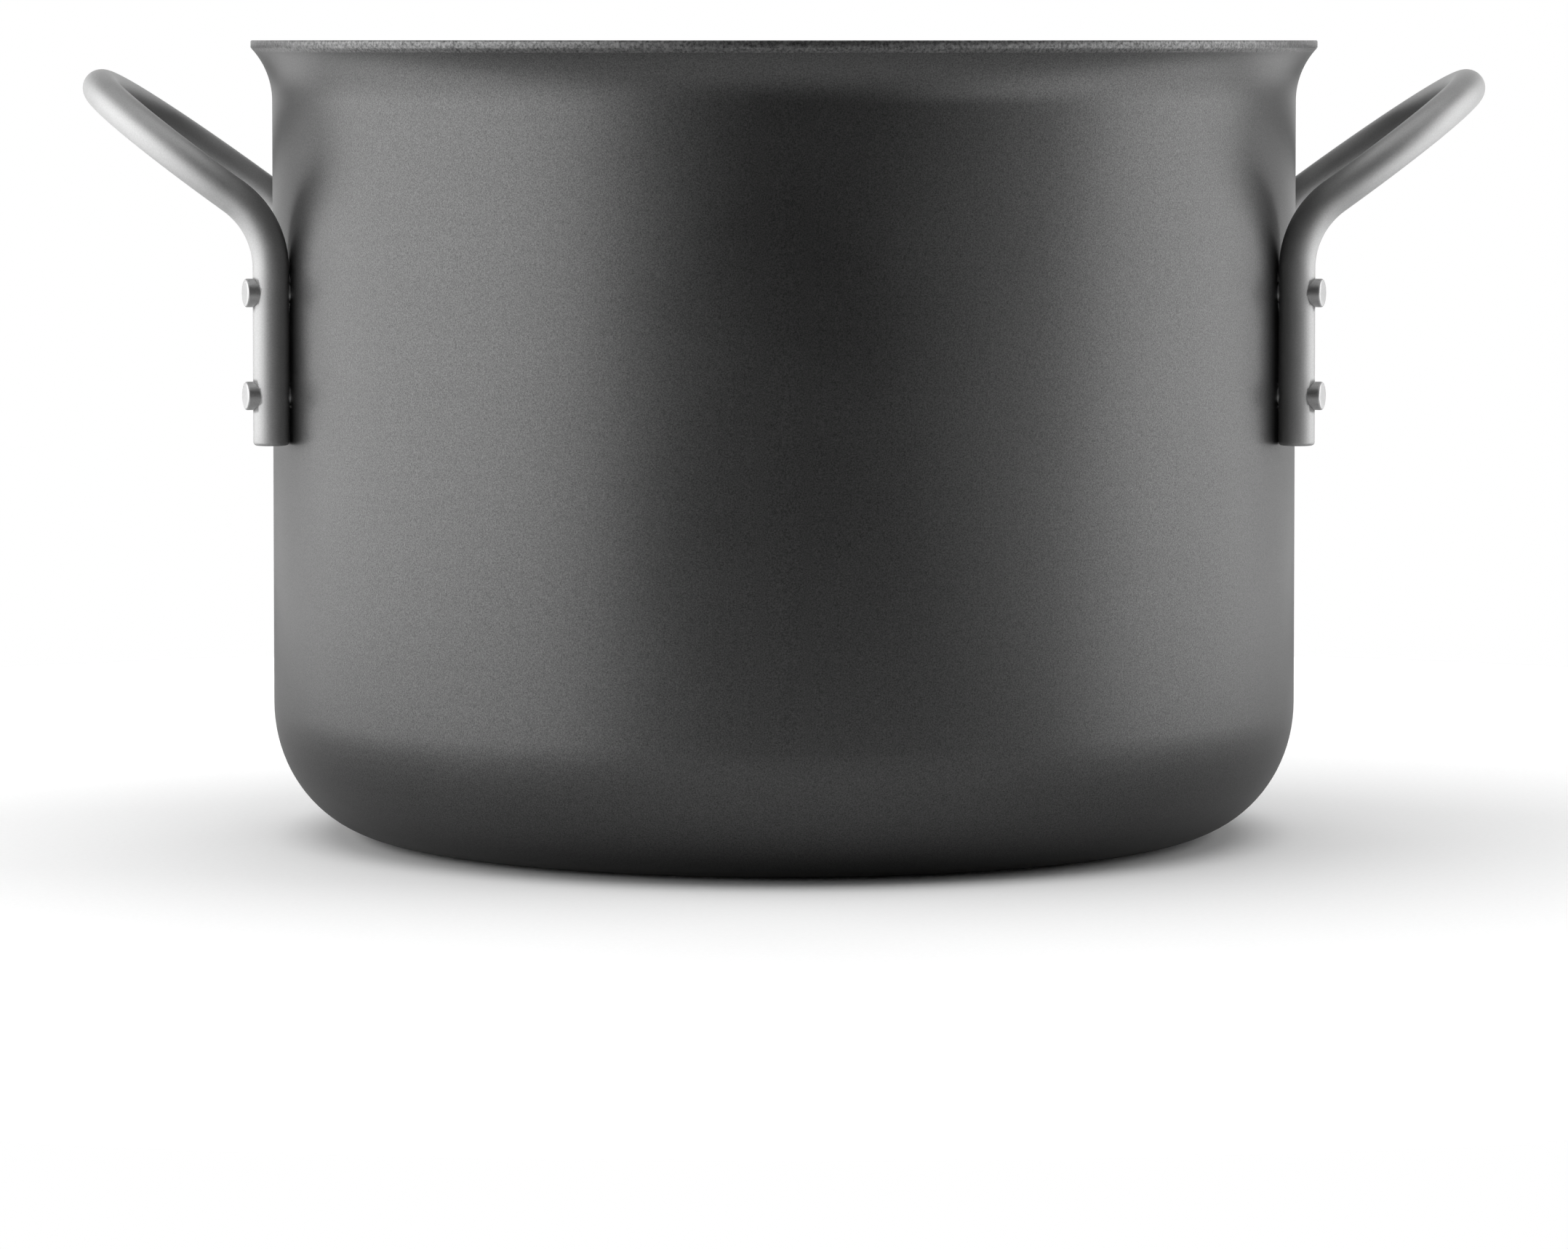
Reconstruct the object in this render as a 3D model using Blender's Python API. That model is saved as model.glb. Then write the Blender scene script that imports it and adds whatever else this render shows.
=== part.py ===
"""Two-handled stock pot: a drawn shell, two bent-rod handles and eight rivets.

Units are metres, +Z is up, and the origin is the middle of the flat base.  The handles stand on
the -X (left) and +X (right) sides, and -Y is the front.
"""
import math

import bmesh
import bpy
from mathutils import Matrix, Vector

# Shell
POT_HEIGHT = 0.1786
WALL_RADIUS = 0.1152              # outside of the straight wall
SHEET = 0.003                     # metal thickness, the same all over
CORNER_WIDTH = 0.0264             # rounded bottom corner, measured outside
CORNER_HEIGHT = 0.0297
RIM_RADIUS = 0.1200               # outside of the rim's upright edge
RIM_EDGE_HEIGHT = 0.0019          # height of that edge
FLARE_RADIUS = 0.0173             # outside radius of the flared stretch
FLARE_DROP = 0.0136               # the flare starts this far below the top

# Handles: a round bar whose feet stand upright on the wall and whose loop leans outwards
ROD_RADIUS = 0.004
ROD_GAP = 0.0003                  # between bar and wall
FOOT_ANGLE = math.radians(18.5)   # each foot's turn from the handle's own middle
FOOT_END = 0.0893                 # height of the feet's lower ends
FOOT_EDGE = 0.0008                # rounding of those ends
LOOP_RISE = math.radians(36.0)    # slope of the loop above level
LOOP_TIP_X = 0.1540               # middle of the bar at the loop's far end
LOOP_TIP_Z = 0.1681
BEND_RADIUS = 0.0195              # bend between foot and loop, at the bar's middle

# Rivets
RIVET_HEIGHTS = {"upper": 0.1230, "lower": 0.1003}
SHANK_RADIUS = 0.00225
HEAD_RADIUS = 0.00315             # outer head
HEAD_PROUD = 0.0018               # how far it stands out past the bar
HEAD_EDGE = 0.0005                # rounding of the outer head's edge
HEAD_SEAT = 0.0022                # its spot face, from the bar's middle
CLENCH_RADIUS = 0.0045            # low round head inside the pot
CLENCH_HEIGHT = 0.0014
CLENCH_GAP = 0.0004
FIT = 0.0003                      # clearance round shank and head
BORE_DEPTH = 0.006                # how far a bore reaches inwards from the wall's outside

# Facets
SHELL_STEPS = 72
ROD_SIDES = 16
RIVET_STEPS = 16
CORNER_STEPS = 7
FLARE_STEPS = 5
BEND_STEPS = 8
LOOP_STEPS = 22
END_STEPS = 2
MERGE = 0.00001
SHARP_EDGE = math.radians(40.0)   # edges bent more than this stay crisp on the bars

# Finishes: colour, roughness, metallic
ANODISED = ((0.060, 0.060, 0.062), 0.48, 0.55)
SATIN_STEEL = ((0.62, 0.62, 0.61), 0.32, 1.0)
RIVET_STEEL = ((0.70, 0.70, 0.69), 0.28, 1.0)

FOOT_AXIS_RADIUS = WALL_RADIUS + ROD_GAP + ROD_RADIUS
SIDES = {"left": math.pi, "right": 0.0}


def clear_scene():
    for old in list(bpy.data.objects):
        bpy.data.objects.remove(old, do_unlink=True)


def principled(name, colour, roughness, metallic):
    material = bpy.data.materials.new(name)
    material.use_nodes = True
    shader = material.node_tree.nodes["Principled BSDF"]
    shader.inputs["Base Color"].default_value = (*colour, 1.0)
    shader.inputs["Roughness"].default_value = roughness
    shader.inputs["Metallic"].default_value = metallic
    return material


def add_object(name, mesh, material=None):
    new = bpy.data.objects.new(name, mesh)
    bpy.context.collection.objects.link(new)
    if material is not None:
        new.data.materials.append(material)
    return new


def arc(centre, across, up, start, end, steps):
    """Points (radius, height) of an elliptical arc, from angle start to end, both included."""
    turn = (end - start) / steps
    angles = [start + turn * i for i in range(steps + 1)]
    return [(centre[0] + across * math.cos(a), centre[1] + up * math.sin(a)) for a in angles]


def turned(name, outline, steps, material=None):
    """A solid of revolution about its own Z from (radius, height) points, top to bottom."""
    mesh = bpy.data.meshes.new(name)
    points = [(radius, 0.0, height) for radius, height in outline]
    edges = [(i, i + 1) for i in range(len(points) - 1)]
    mesh.from_pydata(points, edges, [])
    solid = add_object(name, mesh, material)
    screw = solid.modifiers.new("Turn", "SCREW")
    screw.axis = "Z"
    screw.angle = math.tau
    screw.steps = steps
    screw.render_steps = steps
    screw.use_merge_vertices = True
    screw.merge_threshold = MERGE
    screw.use_smooth_shade = True
    return solid


def as_cutter(tool):
    tool.hide_render = True
    tool.display_type = "WIRE"
    return tool


def cut(target, tool):
    boolean = target.modifiers.new("Cut " + tool.name, "BOOLEAN")
    boolean.operation = "DIFFERENCE"
    boolean.solver = "EXACT"
    boolean.object = tool


def radial_place(angle, height):
    """Pose at the wall whose local Z points straight out from the pot's axis."""
    outwards = Vector((math.cos(angle), math.sin(angle), 0.0))
    turn = Matrix.Rotation(angle, 4, "Z") @ Matrix.Rotation(math.pi / 2, 4, "Y")
    return Matrix.Translation(outwards * WALL_RADIUS + Vector((0.0, 0.0, height))) @ turn


def rivet_places():
    """Each rivet's name and pose, where a handle's foot crosses a rivet height."""
    places = {}
    for side, middle in SIDES.items():
        for row, turn in (("front", -FOOT_ANGLE), ("rear", FOOT_ANGLE)):
            angle = middle + (turn if side == "right" else -turn)
            for level, height in RIVET_HEIGHTS.items():
                places[f"rivet_{side}_{row}_{level}"] = radial_place(angle, height)
    return places


def shell_outline():
    """The inside from the floor's middle up to the rim, then the outside down to the base."""
    flare_z = POT_HEIGHT - FLARE_DROP
    flare_centre = (WALL_RADIUS + FLARE_RADIUS, flare_z)
    inner_flare = FLARE_RADIUS + SHEET
    inner_top = math.pi - math.asin(FLARE_DROP / inner_flare)
    outer_top = math.pi - math.asin((FLARE_DROP - RIM_EDGE_HEIGHT) / FLARE_RADIUS)
    corner_centre = (WALL_RADIUS - CORNER_WIDTH, CORNER_HEIGHT)
    quarter = math.pi / 2
    outside = [(RIM_RADIUS, POT_HEIGHT), (RIM_RADIUS, POT_HEIGHT - RIM_EDGE_HEIGHT)]
    outside += arc(flare_centre, FLARE_RADIUS, FLARE_RADIUS, outer_top, math.pi, FLARE_STEPS)
    outside += arc(corner_centre, CORNER_WIDTH, CORNER_HEIGHT, 0.0, -quarter, CORNER_STEPS)
    outside.append((0.0, 0.0))
    inner_width = CORNER_WIDTH - SHEET
    inner_height = CORNER_HEIGHT - SHEET
    inside = [(0.0, SHEET)]
    inside += arc(corner_centre, inner_width, inner_height, -quarter, 0.0, CORNER_STEPS)
    inside += arc(flare_centre, inner_flare, inner_flare, math.pi, inner_top, FLARE_STEPS)
    return inside + outside


def rivet_outline():
    """Outer head, shank and inner head; height 0 is the wall's outside."""
    rod_middle = ROD_GAP + ROD_RADIUS
    top = rod_middle + ROD_RADIUS + HEAD_PROUD
    seat = rod_middle + HEAD_SEAT + FIT
    clench = -SHEET - CLENCH_GAP
    edge_centre = (HEAD_RADIUS - HEAD_EDGE, top - HEAD_EDGE)
    outline = [(0.0, top)]
    outline += arc(edge_centre, HEAD_EDGE, HEAD_EDGE, math.pi / 2, 0.0, END_STEPS)
    outline += [(HEAD_RADIUS, seat), (SHANK_RADIUS, seat), (SHANK_RADIUS, clench)]
    outline += arc((0.0, clench), CLENCH_RADIUS, -CLENCH_HEIGHT, 0.0, math.pi / 2, END_STEPS + 1)
    outline[-1] = (0.0, clench - CLENCH_HEIGHT)
    return outline


def bore_outline():
    """The hole and spot face that a rivet needs, long enough to pass through bar and wall."""
    rod_middle = ROD_GAP + ROD_RADIUS
    beyond = rod_middle + ROD_RADIUS + HEAD_PROUD
    seat = rod_middle + HEAD_SEAT
    wide = HEAD_RADIUS + FIT
    narrow = SHANK_RADIUS + FIT
    return [(0.0, beyond), (wide, beyond), (wide, seat), (narrow, seat),
            (narrow, -BORE_DEPTH), (0.0, -BORE_DEPTH)]


def loop_path():
    """Middle line of the right handle's bar, front foot to rear foot, with end ring radii."""
    foot_x = FOOT_AXIS_RADIUS * math.cos(FOOT_ANGLE)
    half_width = FOOT_AXIS_RADIUS * math.sin(FOOT_ANGLE)
    turn = math.pi / 2 - LOOP_RISE
    corner_z = LOOP_TIP_Z - (LOOP_TIP_X - foot_x) * math.tan(LOOP_RISE)
    bend_z = corner_z - BEND_RADIUS * math.tan(turn / 2)
    path = []
    for i in range(END_STEPS + 1):
        a = math.pi / 2 * i / END_STEPS
        ring = ROD_RADIUS - FOOT_EDGE * (1.0 - math.sin(a))
        path.append((Vector((foot_x, -half_width, FOOT_END + FOOT_EDGE * (1.0 - math.cos(a)))), ring))
    for i in range(BEND_STEPS + 1):
        a = turn * i / BEND_STEPS
        x = foot_x + BEND_RADIUS * (1.0 - math.cos(a))
        path.append((Vector((x, -half_width, bend_z + BEND_RADIUS * math.sin(a))), ROD_RADIUS))
    outwards = Vector((math.cos(LOOP_RISE), 0.0, math.sin(LOOP_RISE)))
    round_centre = Vector((LOOP_TIP_X, 0.0, LOOP_TIP_Z)) - outwards * half_width
    quarter = []
    for i in range(LOOP_STEPS // 2 + 1):
        a = math.pi / 2 * i / (LOOP_STEPS // 2)
        sideways = Vector((0.0, -half_width * math.cos(a), 0.0))
        quarter.append((round_centre + outwards * half_width * math.sin(a) + sideways, ROD_RADIUS))
    front = path + quarter
    rear = [(Vector((p.x, -p.y, p.z)), ring) for p, ring in reversed(front[:-1])]
    return front + rear


def bar(name, path, material):
    """A round bar along path, made ring by ring and closed by a flat face at each end."""
    count = len(path)
    shape = bmesh.new()
    tangents = []
    for i in range(count):
        before = path[max(i - 1, 0)][0]
        after = path[min(i + 1, count - 1)][0]
        tangents.append((after - before).normalized())
    normal = tangents[0].orthogonal().normalized()
    rings = []
    for i, (middle, radius) in enumerate(path):
        if i > 0:
            normal = tangents[i - 1].rotation_difference(tangents[i]) @ normal
        binormal = tangents[i].cross(normal)
        ring = []
        for k in range(ROD_SIDES):
            a = math.tau * k / ROD_SIDES
            ring.append(shape.verts.new(middle + (normal * math.cos(a) + binormal * math.sin(a)) * radius))
        rings.append(ring)
    for lower, upper in zip(rings, rings[1:]):
        for k in range(ROD_SIDES):
            n = (k + 1) % ROD_SIDES
            shape.faces.new((lower[k], lower[n], upper[n], upper[k]))
    shape.faces.new(list(reversed(rings[0])))
    shape.faces.new(rings[-1])
    bmesh.ops.recalc_face_normals(shape, faces=shape.faces)
    mesh = bpy.data.meshes.new(name)
    shape.to_mesh(mesh)
    shape.free()
    mesh.shade_smooth()
    mesh.set_sharp_from_angle(angle=SHARP_EDGE)
    return add_object(name, mesh, material)


def build():
    clear_scene()
    anodised = principled("anodised_aluminium", *ANODISED)
    steel = principled("satin_steel", *SATIN_STEEL)
    rivet_steel = principled("rivet_steel", *RIVET_STEEL)

    pot = turned("pot_body", shell_outline(), SHELL_STEPS, anodised)
    handles = {}
    for side, angle in SIDES.items():
        handle = bar("handle_" + side, loop_path(), steel)
        handle.rotation_euler = (0.0, 0.0, angle)
        handles[side] = handle

    places = rivet_places()
    for name, pose in places.items():
        rivet = turned(name, rivet_outline(), RIVET_STEPS, rivet_steel)
        rivet.matrix_world = pose
        tool = as_cutter(turned("bore_for_" + name, bore_outline(), RIVET_STEPS))
        tool.matrix_world = pose
        cut(pot, tool)
        cut(handles["left" if "left" in name else "right"], tool)


build()
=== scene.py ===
"""Looks of the two-handled stock pot: fine meshes, materials, studio, camera.

Metres, +Z up, origin at the middle of the base; the handles are at -X and +X, the front is -Y.
"""
import math

import bmesh
import bpy
from mathutils import Matrix, Vector


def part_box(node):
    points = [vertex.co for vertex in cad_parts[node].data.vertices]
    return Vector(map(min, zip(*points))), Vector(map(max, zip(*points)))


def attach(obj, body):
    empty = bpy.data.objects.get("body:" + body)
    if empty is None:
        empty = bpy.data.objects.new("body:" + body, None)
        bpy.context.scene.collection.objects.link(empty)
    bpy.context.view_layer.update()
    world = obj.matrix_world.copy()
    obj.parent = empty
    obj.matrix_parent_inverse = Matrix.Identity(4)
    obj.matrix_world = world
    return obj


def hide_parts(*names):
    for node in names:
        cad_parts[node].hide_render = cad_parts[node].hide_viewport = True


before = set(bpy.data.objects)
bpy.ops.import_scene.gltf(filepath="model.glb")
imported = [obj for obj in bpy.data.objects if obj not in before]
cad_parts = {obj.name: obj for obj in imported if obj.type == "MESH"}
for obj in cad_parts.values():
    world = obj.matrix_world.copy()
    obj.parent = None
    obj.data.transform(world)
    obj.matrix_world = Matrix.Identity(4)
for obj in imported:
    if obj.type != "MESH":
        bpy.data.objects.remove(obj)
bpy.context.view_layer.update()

POT_LOW, POT_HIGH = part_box("pot_body")

# Shell
POT_HEIGHT = POT_HIGH.z
RIM_RADIUS = POT_HIGH.x
WALL_RADIUS = 0.1152
SHEET = 0.003
CORNER_WIDTH = 0.0264
CORNER_HEIGHT = 0.0297
RIM_EDGE_HEIGHT = 0.0019
FLARE_RADIUS = 0.0173
FLARE_DROP = 0.0136
RIM_ROUND = 0.00035               # softened edges of the rim
RIM_LIP = ((-0.1, -0.7), (0.4, -0.15), (1.2, 0.0))    # inner edge's rounding, in RIM_ROUNDs
RIM_BAND = 0.0007                 # the coarser grain reaches this far below the rim's edge

# Handles
ROD_RADIUS = 0.004
ROD_GAP = 0.00003
FOOT_ANGLE = math.radians(18.5)
FOOT_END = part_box("handle_right")[0].z
FOOT_EDGE = 0.0008
FOOT_CENTRE = 0.45                # first ring of a foot's end face, in bar radii
LOOP_RISE = math.radians(36.0)
LOOP_TIP_X = 0.1540
LOOP_TIP_Z = 0.1681
BEND_RADIUS = 0.0195

# Rivets
SHANK_RADIUS = 0.00225
HEAD_RADIUS = 0.00315
HEAD_PROUD = 0.0018
HEAD_EDGE = 0.0005
HEAD_FLAT = 0.5                   # a ring on the outer head's face, in head radii
HEAD_SINK = 0.0024                # depth of the outer head's seat below the bar's crown
CLENCH_RADIUS = 0.0045
CLENCH_HEIGHT = 0.0014
CLENCH_EDGE = 0.0002
CLENCH_GAP = 0.0001
FIT = 0.00006
BORE_END = -2.0 * SHEET           # the cutting tools end this far inside the wall's outside

# Mesh fineness
SHELL_COLUMNS = 240
CORNER_ROWS = 24
FLARE_ROWS = 14
WALL_ROW = 0.006
FOOT_ROW = 0.002
ROD_SIDES = 48
BEND_RINGS = 28
LOOP_RINGS = 48                   # along half of the loop's round end
RIVET_COLUMNS = 48
CLENCH_RINGS = 9
EDGE_RINGS = 5
SHARP_ANGLE = 35.0
RIVET_SHARP_ANGLE = 30.0

# Surfaces: sizes in metres, depths as shares of the tone
NOISE_LOW = 0.3                   # most of a noise lies between these two values
NOISE_HIGH = 0.7
FINE_ROUGHNESS = 0.7
CLOUD_SIZE = 0.030
CLOUD_DEPTH = 0.03
RING_SIZE = 0.0011
RING_DEPTH = 0.015
RING_SQUEEZE = 0.02               # how little the rings change across X and Y
GLOSS_CHANGE = 0.02
GRAIN_BUMP = 0.20
GRAIN_HEIGHT = 0.12               # in grain sizes
HAZE_SIZE = 0.00030
HAZE_DEPTH = 0.10
HAZE_GLOSS = 0.03
HAZE_BUMP = 0.15
HAZE_HEIGHT = 0.00003
PATCH_SIZE = 0.006
PATCH_DEPTH = 0.03
PATCH_GLOSS = 0.015

# Camera and studio
CAMERA_DISTANCE = 1.514
CAMERA_TILT = math.radians(2.715)
CAMERA_SHIFT = -0.17
CAMERA_LENS = 153.9
CAMERA_SENSOR = 36.0
CAMERA_REACH = 100.0
TABLE_RADIUS = 0.45
TABLE_SIDES = 96
TABLE_DROP = 0.0002               # keeps the table's face just clear of the base
TABLE_SEEN = 0.95                 # how pale the table looks
TABLE_BOUNCE = 0.50               # how much light it throws back on the pot
TABLE_GRAIN = 0.0012
TABLE_GRAIN_DEPTH = 0.01

FOOT_AXIS_RADIUS = WALL_RADIUS + ROD_GAP + ROD_RADIUS
SIDES = {"left": math.pi, "right": 0.0}
RIVET_NODES = [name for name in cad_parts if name.startswith("rivet_")]


# ---------------------------------------------------------------- materials

class Nodes:
    """A material's node tree, with short calls for the nodes used here."""

    def __init__(self, name):
        self.material = bpy.data.materials.new(name)
        self.material.use_nodes = True
        self.tree = self.material.node_tree
        self.shader = self.tree.nodes["Principled BSDF"]
        self.place = self.add("ShaderNodeTexCoord").outputs["Object"]

    def add(self, kind, **settings):
        node = self.tree.nodes.new(kind)
        for key, value in settings.items():
            setattr(node, key, value)
        return node

    def link(self, out, socket):
        self.tree.links.new(out, socket)

    def noise(self, size, detail=2.0, roughness=0.5, place=None):
        """Noise whose features are about size metres across; its output is about 0 to 1."""
        node = self.add("ShaderNodeTexNoise")
        node.inputs["Scale"].default_value = 1.0 / size
        node.inputs["Detail"].default_value = detail
        node.inputs["Roughness"].default_value = roughness
        self.link(place or self.place, node.inputs["Vector"])
        return node.outputs["Fac"]

    def remap(self, value, low, high, to_low, to_high):
        """Maps low..high onto to_low..to_high, clamped at both ends."""
        node = self.add("ShaderNodeMapRange")
        limits = {"From Min": low, "From Max": high, "To Min": to_low, "To Max": to_high}
        for key, number in limits.items():
            node.inputs[key].default_value = number
        self.link(value, node.inputs["Value"])
        return node.outputs["Result"]

    def vary(self, noise, middle, reach):
        """Turns a noise into values around middle, never further from it than reach."""
        return self.remap(noise, NOISE_LOW, NOISE_HIGH, middle - reach, middle + reach)

    def maths(self, operation, first, second):
        node = self.add("ShaderNodeMath", operation=operation)
        for socket, value in zip(node.inputs, (first, second)):
            if isinstance(value, (int, float)):
                socket.default_value = value
            else:
                self.link(value, socket)
        return node.outputs["Value"]

    def grey(self, value, socket):
        """Drives all three channels of a colour socket with one value."""
        node = self.add("ShaderNodeCombineColor")
        for channel in ("Red", "Green", "Blue"):
            self.link(value, node.inputs[channel])
        self.link(node.outputs["Color"], socket)

    def bump(self, height, strength, distance):
        """Tips the shader's normal with a height."""
        node = self.add("ShaderNodeBump")
        node.inputs["Strength"].default_value = strength
        node.inputs["Distance"].default_value = distance
        self.link(height, node.inputs["Height"])
        self.link(node.outputs["Normal"], self.shader.inputs["Normal"])


def anodised(name, base, grain_size, grain_depth, roughness):
    """Matt hard-anodised aluminium: a fine grain, faint clouds and turned rings."""
    n = Nodes(name)
    fine = n.noise(grain_size, roughness=FINE_ROUGHNESS)
    cloud = n.noise(CLOUD_SIZE, detail=3.0)
    ring_place = n.add("ShaderNodeMapping")
    ring_place.inputs["Scale"].default_value = (RING_SQUEEZE, RING_SQUEEZE, 1.0)
    n.link(n.place, ring_place.inputs["Vector"])
    rings = n.noise(RING_SIZE, detail=3.0, place=ring_place.outputs["Vector"])
    speckle = n.vary(fine, 1.0, grain_depth)
    clouded = n.maths("MULTIPLY", speckle, n.vary(cloud, 1.0, CLOUD_DEPTH))
    tone = n.maths("MULTIPLY", clouded, n.vary(rings, 1.0, RING_DEPTH))
    n.grey(n.maths("MULTIPLY", tone, base), n.shader.inputs["Base Color"])
    n.shader.inputs["Metallic"].default_value = 1.0
    rough = n.maths("ADD", n.vary(fine, 0.0, GLOSS_CHANGE), n.vary(cloud, 0.0, GLOSS_CHANGE))
    n.link(n.maths("ADD", rough, roughness), n.shader.inputs["Roughness"])
    n.bump(fine, GRAIN_BUMP, grain_size * GRAIN_HEIGHT)
    return n.material


def satin_steel(name, base, roughness):
    """Satin stainless steel: a fine even haze with slight patches."""
    n = Nodes(name)
    haze = n.noise(HAZE_SIZE, roughness=FINE_ROUGHNESS)
    patch = n.noise(PATCH_SIZE)
    tone = n.maths("MULTIPLY", n.vary(haze, 1.0, HAZE_DEPTH), n.vary(patch, 1.0, PATCH_DEPTH))
    n.grey(n.maths("MULTIPLY", tone, base), n.shader.inputs["Base Color"])
    n.shader.inputs["Metallic"].default_value = 1.0
    rough = n.maths("ADD", n.vary(haze, 0.0, HAZE_GLOSS), n.vary(patch, 0.0, PATCH_GLOSS))
    n.link(n.maths("ADD", rough, roughness), n.shader.inputs["Roughness"])
    n.bump(haze, HAZE_BUMP, HAZE_HEIGHT)
    return n.material


# ---------------------------------------------------------------- meshes

def add_object(name, mesh, *materials):
    new = bpy.data.objects.new(name, mesh)
    bpy.context.scene.collection.objects.link(new)
    for material in materials:
        new.data.materials.append(material)
    return new


def finish_mesh(shape, name, sharp=SHARP_ANGLE):
    """Turns a bmesh into a smooth mesh with its sharp edges kept."""
    bmesh.ops.recalc_face_normals(shape, faces=shape.faces)
    mesh = bpy.data.meshes.new(name)
    shape.to_mesh(mesh)
    shape.free()
    mesh.shade_smooth()
    mesh.set_sharp_from_angle(angle=math.radians(sharp))
    return mesh


def arc(centre, across, up, start, end, steps):
    """Points along part of an ellipse, both ends included."""
    turn = (end - start) / steps
    angles = [start + turn * i for i in range(steps + 1)]
    return [(centre[0] + across * math.cos(a), centre[1] + up * math.sin(a)) for a in angles]


def rows(start, end, step):
    """Points between two ends of a straight stretch, both left out, about step apart."""
    count = max(int(math.dist(start, end) / step), 1)
    run, rise = end[0] - start[0], end[1] - start[1]
    parts = [i / count for i in range(1, count)]
    return [(start[0] + run * t, start[1] + rise * t) for t in parts]


def lathe(name, outline, columns, sharp=SHARP_ANGLE):
    """A closed solid of revolution about Z; the outline starts and ends on the axis."""
    shape = bmesh.new()
    rings = []
    for radius, height in outline:
        if radius == 0.0:
            rings.append([shape.verts.new((0.0, 0.0, height))] * columns)
            continue
        ring = []
        for k in range(columns):
            a = math.tau * k / columns
            ring.append(shape.verts.new((radius * math.cos(a), radius * math.sin(a), height)))
        rings.append(ring)
    for lower, upper in zip(rings, rings[1:]):
        for k in range(columns):
            n = (k + 1) % columns
            corners = [lower[k], lower[n], upper[n], upper[k]]
            shape.faces.new(list(dict.fromkeys(corners)))
    return finish_mesh(shape, name, sharp)


def shell_outline():
    """The shell in section: up the inside, over the rim, down the outside and across the base."""
    flare_z = POT_HEIGHT - FLARE_DROP
    flare_centre = (WALL_RADIUS + FLARE_RADIUS, flare_z)
    inner_flare = FLARE_RADIUS + SHEET
    inner_top = math.pi - math.asin(FLARE_DROP / inner_flare)
    outer_top = math.pi - math.asin((FLARE_DROP - RIM_EDGE_HEIGHT) / FLARE_RADIUS)
    corner = (WALL_RADIUS - CORNER_WIDTH, CORNER_HEIGHT)
    quarter = math.pi / 2
    r = RIM_ROUND
    bore = WALL_RADIUS - SHEET
    inside = arc(corner, CORNER_WIDTH - SHEET, CORNER_HEIGHT - SHEET, -quarter, 0.0, CORNER_ROWS)
    inside += rows((bore, CORNER_HEIGHT), (bore, flare_z), WALL_ROW)
    inside += arc(flare_centre, inner_flare, inner_flare, math.pi, inner_top, FLARE_ROWS)
    inner_edge = inside.pop()[0]
    rim = [(inner_edge + r * across, POT_HEIGHT + r * up) for across, up in RIM_LIP]
    rim += arc((RIM_RADIUS - r, POT_HEIGHT - r), r, r, quarter, 0.0, EDGE_RINGS)
    rim += [(RIM_RADIUS, POT_HEIGHT - RIM_EDGE_HEIGHT + r)]
    outside = arc(flare_centre, FLARE_RADIUS, FLARE_RADIUS, outer_top, math.pi, FLARE_ROWS)
    outside += rows((WALL_RADIUS, flare_z), (WALL_RADIUS, CORNER_HEIGHT), WALL_ROW)
    outside += arc(corner, CORNER_WIDTH, CORNER_HEIGHT, 0.0, -quarter, CORNER_ROWS)
    floor_rings = [(corner[0] * t, SHEET) for t in (0.25, 0.5, 0.75)]
    base_rings = [(corner[0] * t, 0.0) for t in (0.75, 0.5, 0.25)]
    return [(0.0, SHEET)] + floor_rings + inside + rim + outside + base_rings + [(0.0, 0.0)]


def rivet_outline():
    """Outer head, shank and inner head along +Z; height 0 is the wall's outside."""
    crown = ROD_GAP + 2.0 * ROD_RADIUS
    top = crown + HEAD_PROUD
    seat = crown - HEAD_SINK + FIT
    clench = -SHEET - CLENCH_GAP
    quarter = math.pi / 2
    outline = [(0.0, top), (HEAD_RADIUS * HEAD_FLAT, top)]
    head_centre = (HEAD_RADIUS - HEAD_EDGE, top - HEAD_EDGE)
    outline += arc(head_centre, HEAD_EDGE, HEAD_EDGE, quarter, 0.0, EDGE_RINGS)
    outline += [(HEAD_RADIUS, seat), (SHANK_RADIUS, seat), (SHANK_RADIUS, clench)]
    outline += [(CLENCH_RADIUS - CLENCH_EDGE, clench)]
    dome_centre = (0.0, clench - CLENCH_EDGE)
    dome = arc(dome_centre, CLENCH_RADIUS, CLENCH_EDGE - CLENCH_HEIGHT, 0.0, quarter, CLENCH_RINGS)
    outline += dome[:-1]
    outline += [(0.0, clench - CLENCH_HEIGHT)]
    return outline


def bore_outline():
    """The tool that cuts a rivet's seat and hole, on the rivet's own axis."""
    crown = ROD_GAP + 2.0 * ROD_RADIUS
    top = crown + HEAD_PROUD
    wide = HEAD_RADIUS + FIT
    narrow = SHANK_RADIUS + FIT
    seat = crown - HEAD_SINK
    head = [(0.0, top), (wide, top), (wide, seat)]
    return head + [(narrow, seat), (narrow, BORE_END), (0.0, BORE_END)]


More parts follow.
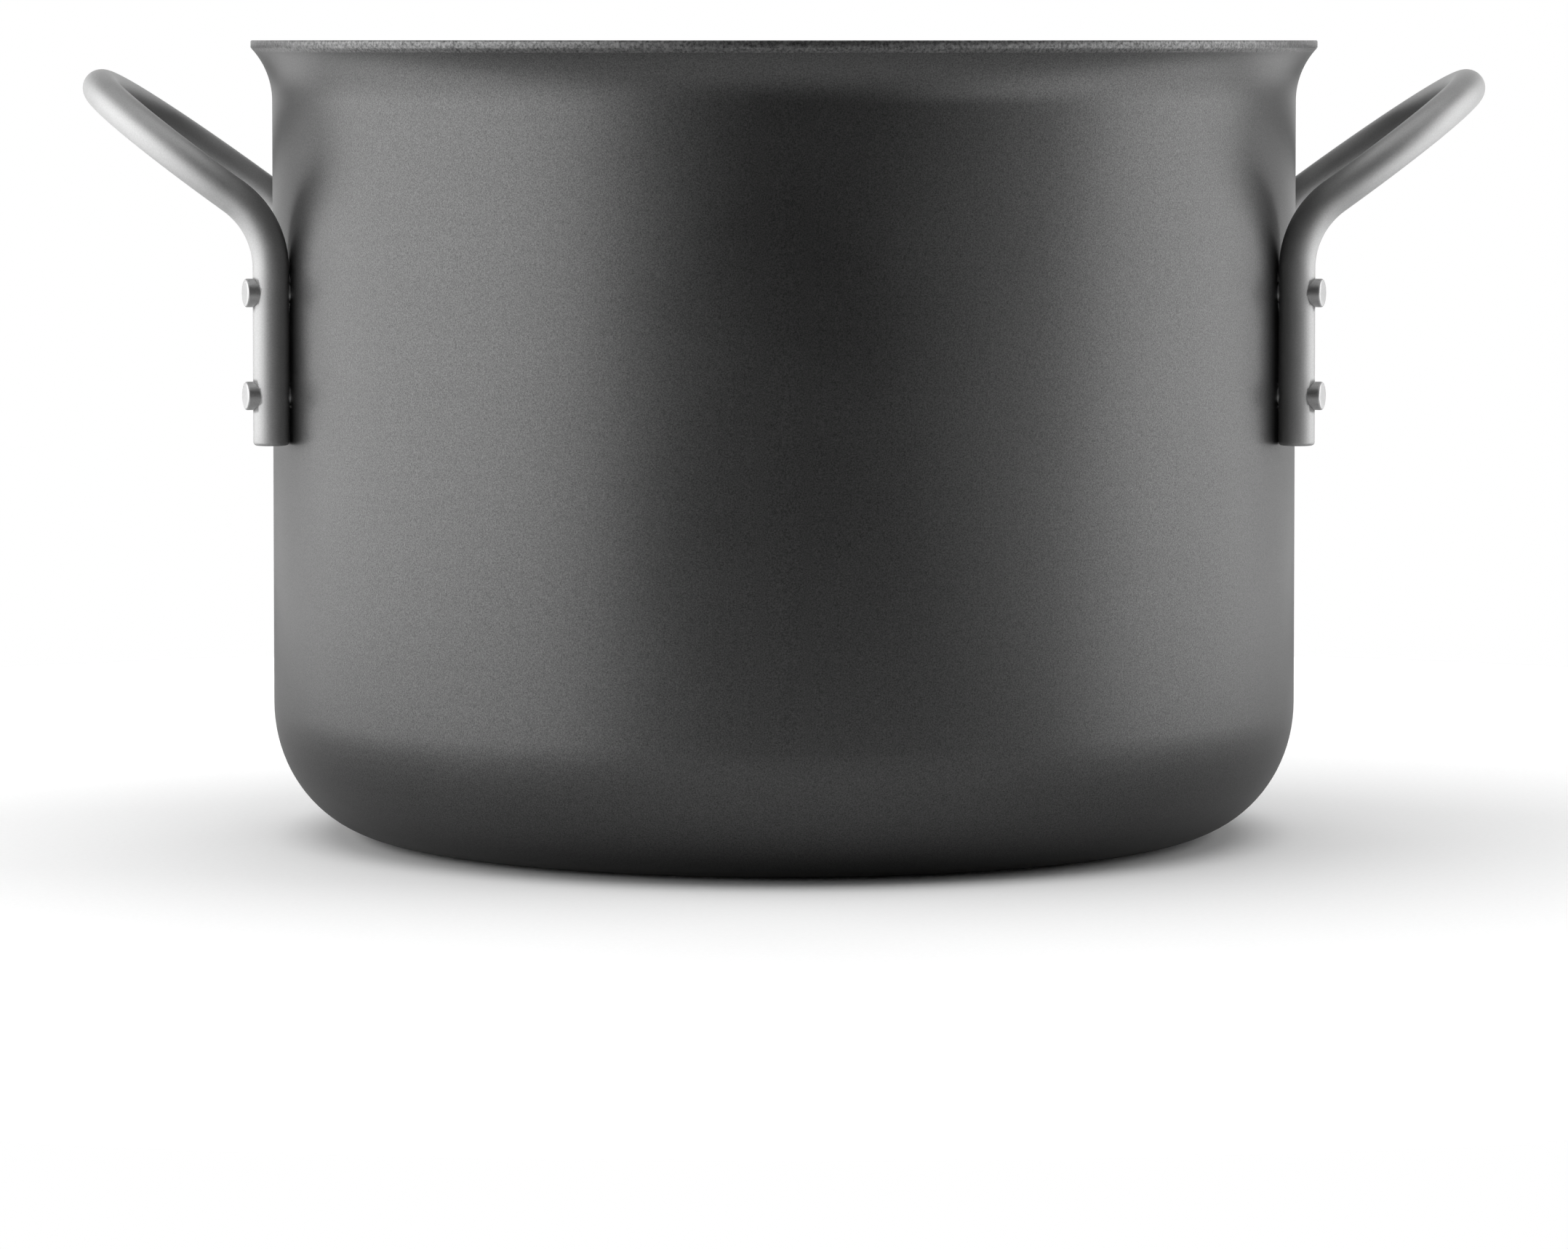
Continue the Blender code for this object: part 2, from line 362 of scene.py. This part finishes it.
def loop_path():
    """Middle line of the right handle's bar, front foot to rear foot, with ring radii."""
    foot_x = FOOT_AXIS_RADIUS * math.cos(FOOT_ANGLE)
    half_width = FOOT_AXIS_RADIUS * math.sin(FOOT_ANGLE)
    turn = math.pi / 2 - LOOP_RISE
    corner_z = LOOP_TIP_Z - (LOOP_TIP_X - foot_x) * math.tan(LOOP_RISE)
    bend_z = corner_z - BEND_RADIUS * math.tan(turn / 2)
    path = [(Vector((foot_x, -half_width, FOOT_END)), ROD_RADIUS * FOOT_CENTRE)]
    for i in range(EDGE_RINGS + 1):
        a = math.pi / 2 * i / EDGE_RINGS
        ring = ROD_RADIUS - FOOT_EDGE * (1.0 - math.sin(a))
        z = FOOT_END + FOOT_EDGE * (1.0 - math.cos(a))
        path.append((Vector((foot_x, -half_width, z)), ring))
    straight = rows((FOOT_END + FOOT_EDGE, 0.0), (bend_z, 0.0), FOOT_ROW)
    path += [(Vector((foot_x, -half_width, z)), ROD_RADIUS) for z, _ in straight]
    for i in range(BEND_RINGS + 1):
        a = turn * i / BEND_RINGS
        x = foot_x + BEND_RADIUS * (1.0 - math.cos(a))
        path.append((Vector((x, -half_width, bend_z + BEND_RADIUS * math.sin(a))), ROD_RADIUS))
    outwards = Vector((math.cos(LOOP_RISE), 0.0, math.sin(LOOP_RISE)))
    round_centre = Vector((LOOP_TIP_X, 0.0, LOOP_TIP_Z)) - outwards * half_width
    for i in range(LOOP_RINGS + 1):
        a = math.pi / 2 * i / LOOP_RINGS
        sideways = Vector((0.0, -half_width * math.cos(a), 0.0))
        path.append((round_centre + outwards * half_width * math.sin(a) + sideways, ROD_RADIUS))
    rear = [(Vector((p.x, -p.y, p.z)), ring) for p, ring in reversed(path[:-1])]
    return path + rear


def bar_mesh(name, path):
    """A round bar along path, ring by ring, with a flat face at each end."""
    count = len(path)
    shape = bmesh.new()
    tangents = []
    for i in range(count):
        before = path[max(i - 1, 0)][0]
        after = path[min(i + 1, count - 1)][0]
        step = after - before
        tangents.append(step.normalized() if step.length > 0.0 else Vector((0.0, 0.0, 1.0)))
    normal = tangents[0].orthogonal().normalized()
    rings = []
    for i, (middle, radius) in enumerate(path):
        if i > 0:
            normal = tangents[i - 1].rotation_difference(tangents[i]) @ normal
        binormal = tangents[i].cross(normal)
        ring = []
        for k in range(ROD_SIDES):
            a = math.tau * k / ROD_SIDES
            outwards = normal * math.cos(a) + binormal * math.sin(a)
            ring.append(shape.verts.new(middle + outwards * radius))
        rings.append(ring)
    for lower, upper in zip(rings, rings[1:]):
        for k in range(ROD_SIDES):
            n = (k + 1) % ROD_SIDES
            shape.faces.new((lower[k], lower[n], upper[n], upper[k]))
    shape.faces.new(list(reversed(rings[0])))
    shape.faces.new(rings[-1])
    return finish_mesh(shape, name)


def cut_bores(target, tools):
    """Cuts every tool out of the target and keeps the result as its mesh."""
    for tool in tools:
        boolean = target.modifiers.new("Bore", "BOOLEAN")
        boolean.operation = "DIFFERENCE"
        boolean.solver = "EXACT"
        boolean.object = tool
    bpy.context.view_layer.update()
    evaluated = target.evaluated_get(bpy.context.evaluated_depsgraph_get())
    mesh = bpy.data.meshes.new_from_object(evaluated)
    target.modifiers.clear()
    target.data = mesh


def rivet_pose(node):
    """Pose on the wall of a rivet's own axis, read from where its node is."""
    low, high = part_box(node)
    middle = (low + high) / 2.0
    angle = math.atan2(middle.y, middle.x)
    outwards = Vector((math.cos(angle), math.sin(angle), 0.0))
    turn = Matrix.Rotation(angle, 4, "Z") @ Matrix.Rotation(math.pi / 2, 4, "Y")
    return Matrix.Translation(outwards * WALL_RADIUS + Vector((0.0, 0.0, middle.z))) @ turn


def keep(piece, slot, *nodes):
    """Fixes a piece to the root in place of its CAD nodes."""
    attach(piece, "root")
    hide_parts(*nodes)


def build_pot():
    """The shell, both bars and the eight rivets, with every bore cut."""
    wall = anodised("anodised_wall", base=0.110,
                    grain_size=0.00028, grain_depth=0.42, roughness=0.42)
    edge = anodised("anodised_rim_edge", base=0.160,
                    grain_size=0.00065, grain_depth=0.60, roughness=0.46)
    steel = satin_steel("bar_steel", base=0.48, roughness=0.60)
    rivet_steel = satin_steel("rivet_steel", base=0.55, roughness=0.48)

    shell = add_object("shell", lathe("shell", shell_outline(), SHELL_COLUMNS), wall, edge)
    bars = {}
    for side, angle in SIDES.items():
        bars[side] = add_object("bar_" + side, bar_mesh("bar_" + side, loop_path()), steel)
        bars[side].matrix_world = Matrix.Rotation(angle, 4, "Z")
    rivet_mesh = lathe("rivet", rivet_outline(), RIVET_COLUMNS, sharp=RIVET_SHARP_ANGLE)
    rivet_mesh.materials.append(rivet_steel)
    bore_mesh = lathe("bore", bore_outline(), RIVET_COLUMNS)
    tools = {side: [] for side in SIDES}
    for node in RIVET_NODES:
        pose = rivet_pose(node)
        pin = add_object("pin" + node[len("rivet"):], rivet_mesh)
        pin.matrix_world = pose
        keep(pin, "rivet", node)
        tool = add_object("tool_" + node, bore_mesh)
        tool.matrix_world = pose
        tools["left" if "_left_" in node else "right"].append(tool)
    cut_bores(shell, tools["left"] + tools["right"])
    for side, bar in bars.items():
        cut_bores(bar, tools[side])
        keep(bar, "handle_rod", "handle_" + side)
    for tool in tools["left"] + tools["right"]:
        bpy.data.objects.remove(tool, do_unlink=True)
    edge_low = POT_HEIGHT - RIM_EDGE_HEIGHT - RIM_BAND
    for face in shell.data.polygons:
        face.material_index = 1 if face.center.z > edge_low else 0
    keep(shell, "anodised_body", "pot_body")


# ---------------------------------------------------------------- studio

def softbox(name, place, aim, width, height, radiance, diffuse=True):
    """A rectangular light of one radiance, unseen by the camera."""
    data = bpy.data.lights.new(name, "AREA")
    data.shape = "RECTANGLE"
    data.size = width
    data.size_y = height
    data.energy = radiance * math.pi * width * height
    lamp = bpy.data.objects.new(name, data)
    bpy.context.scene.collection.objects.link(lamp)
    lamp.location = place
    direction = Vector(aim) - Vector(place)
    lamp.rotation_mode = "QUATERNION"
    lamp.rotation_quaternion = direction.to_track_quat("-Z", "Y")
    lamp.visible_camera = False
    lamp.visible_diffuse = diffuse


def overhead(strength, spread):
    """Even soft light from straight above, not mirrored by the pot."""
    data = bpy.data.lights.new("overhead", "SUN")
    data.energy = strength
    data.angle = math.radians(spread)
    lamp = bpy.data.objects.new("overhead", data)
    bpy.context.scene.collection.objects.link(lamp)
    lamp.visible_glossy = False


def build_world(backdrop, ambient):
    """White behind the object for the camera, a dim grey room for everything else."""
    world = bpy.data.worlds.new("studio")
    bpy.context.scene.world = world
    world.use_nodes = True
    tree = world.node_tree
    tree.nodes.clear()
    output = tree.nodes.new("ShaderNodeOutputWorld")
    mix = tree.nodes.new("ShaderNodeMixShader")
    path = tree.nodes.new("ShaderNodeLightPath")
    room = tree.nodes.new("ShaderNodeBackground")
    seen = tree.nodes.new("ShaderNodeBackground")
    room.inputs["Color"].default_value = (1.0, 1.0, 1.0, 1.0)
    room.inputs["Strength"].default_value = ambient
    seen.inputs["Color"].default_value = (1.0, 1.0, 1.0, 1.0)
    seen.inputs["Strength"].default_value = backdrop
    tree.links.new(path.outputs["Is Camera Ray"], mix.inputs[0])
    tree.links.new(room.outputs[0], mix.inputs[1])
    tree.links.new(seen.outputs[0], mix.inputs[2])
    tree.links.new(mix.outputs[0], output.inputs["Surface"])


def build_floor():
    """A plain pale table with a fine grain, dim in what it throws back."""
    n = Nodes("floor_white")
    n.shader.inputs["Roughness"].default_value = 1.0
    n.shader.inputs["Specular IOR Level"].default_value = 0.0
    white = n.vary(n.noise(TABLE_GRAIN), TABLE_SEEN, TABLE_GRAIN_DEPTH)
    seen = n.add("ShaderNodeLightPath").outputs["Is Camera Ray"]
    dimmed = n.remap(seen, 0.0, 1.0, TABLE_BOUNCE / TABLE_SEEN, 1.0)
    n.grey(n.maths("MULTIPLY", white, dimmed), n.shader.inputs["Base Color"])
    shape = bmesh.new()
    bmesh.ops.create_circle(shape, cap_ends=True, segments=TABLE_SIDES, radius=TABLE_RADIUS)
    mesh = bpy.data.meshes.new("floor")
    shape.to_mesh(mesh)
    shape.free()
    floor = add_object("floor", mesh, n.material)
    floor.location.z = POT_LOW.z - TABLE_DROP


def build_camera():
    """Level with the rim, tipped down a little, with part of the frame's shift kept."""
    data = bpy.data.cameras.new("camera")
    data.lens = CAMERA_LENS
    data.sensor_width = CAMERA_SENSOR
    data.sensor_fit = "HORIZONTAL"
    data.shift_y = CAMERA_SHIFT
    camera = bpy.data.objects.new("camera", data)
    bpy.context.scene.collection.objects.link(camera)
    camera.location = (0.0, -CAMERA_DISTANCE, POT_HEIGHT)
    camera.rotation_euler = (math.pi / 2 - CAMERA_TILT, 0.0, 0.0)
    data.clip_end = CAMERA_REACH
    bpy.context.scene.camera = camera


def build_studio():
    """A bank and a low fill on each side, a dim front, a rear panel and two lights overhead.

    Of the two overhead, the sun only lights and the panel called above is only mirrored.
    """
    build_world(backdrop=1.0, ambient=0.02)
    build_floor()
    overhead(strength=2.15, spread=80.0)
    softbox("left", place=(-1.5, -0.35, 0.6), aim=(0.0, -0.35, 0.6),
            width=3.1, height=1.3, radiance=2.6)
    softbox("right", place=(1.5, 0.3, 0.6), aim=(0.0, 0.3, 0.6),
            width=1.7, height=1.3, radiance=2.4)
    softbox("left_low", place=(-0.75, 0.0, 0.01), aim=(-0.75, 0.0, 1.0),
            width=0.9, height=1.6, radiance=1.7)
    softbox("right_low", place=(0.75, 0.0, 0.01), aim=(0.75, 0.0, 1.0),
            width=0.9, height=1.6, radiance=1.6)
    softbox("front", place=(0.0, -2.6, 0.7), aim=(0.0, 0.0, 0.1),
            width=3.0, height=1.6, radiance=0.06)
    softbox("above", place=(0.0, 0.0, 1.7), aim=(0.0, 0.0, 0.0),
            width=2.0, height=2.0, radiance=0.90, diffuse=False)
    softbox("back", place=(0.0, 2.6, 0.9), aim=(0.0, 0.0, 0.2),
            width=4.0, height=2.0, radiance=1.2)
    bpy.context.scene.view_settings.view_transform = "Standard"


build_camera()
build_pot()
build_studio()
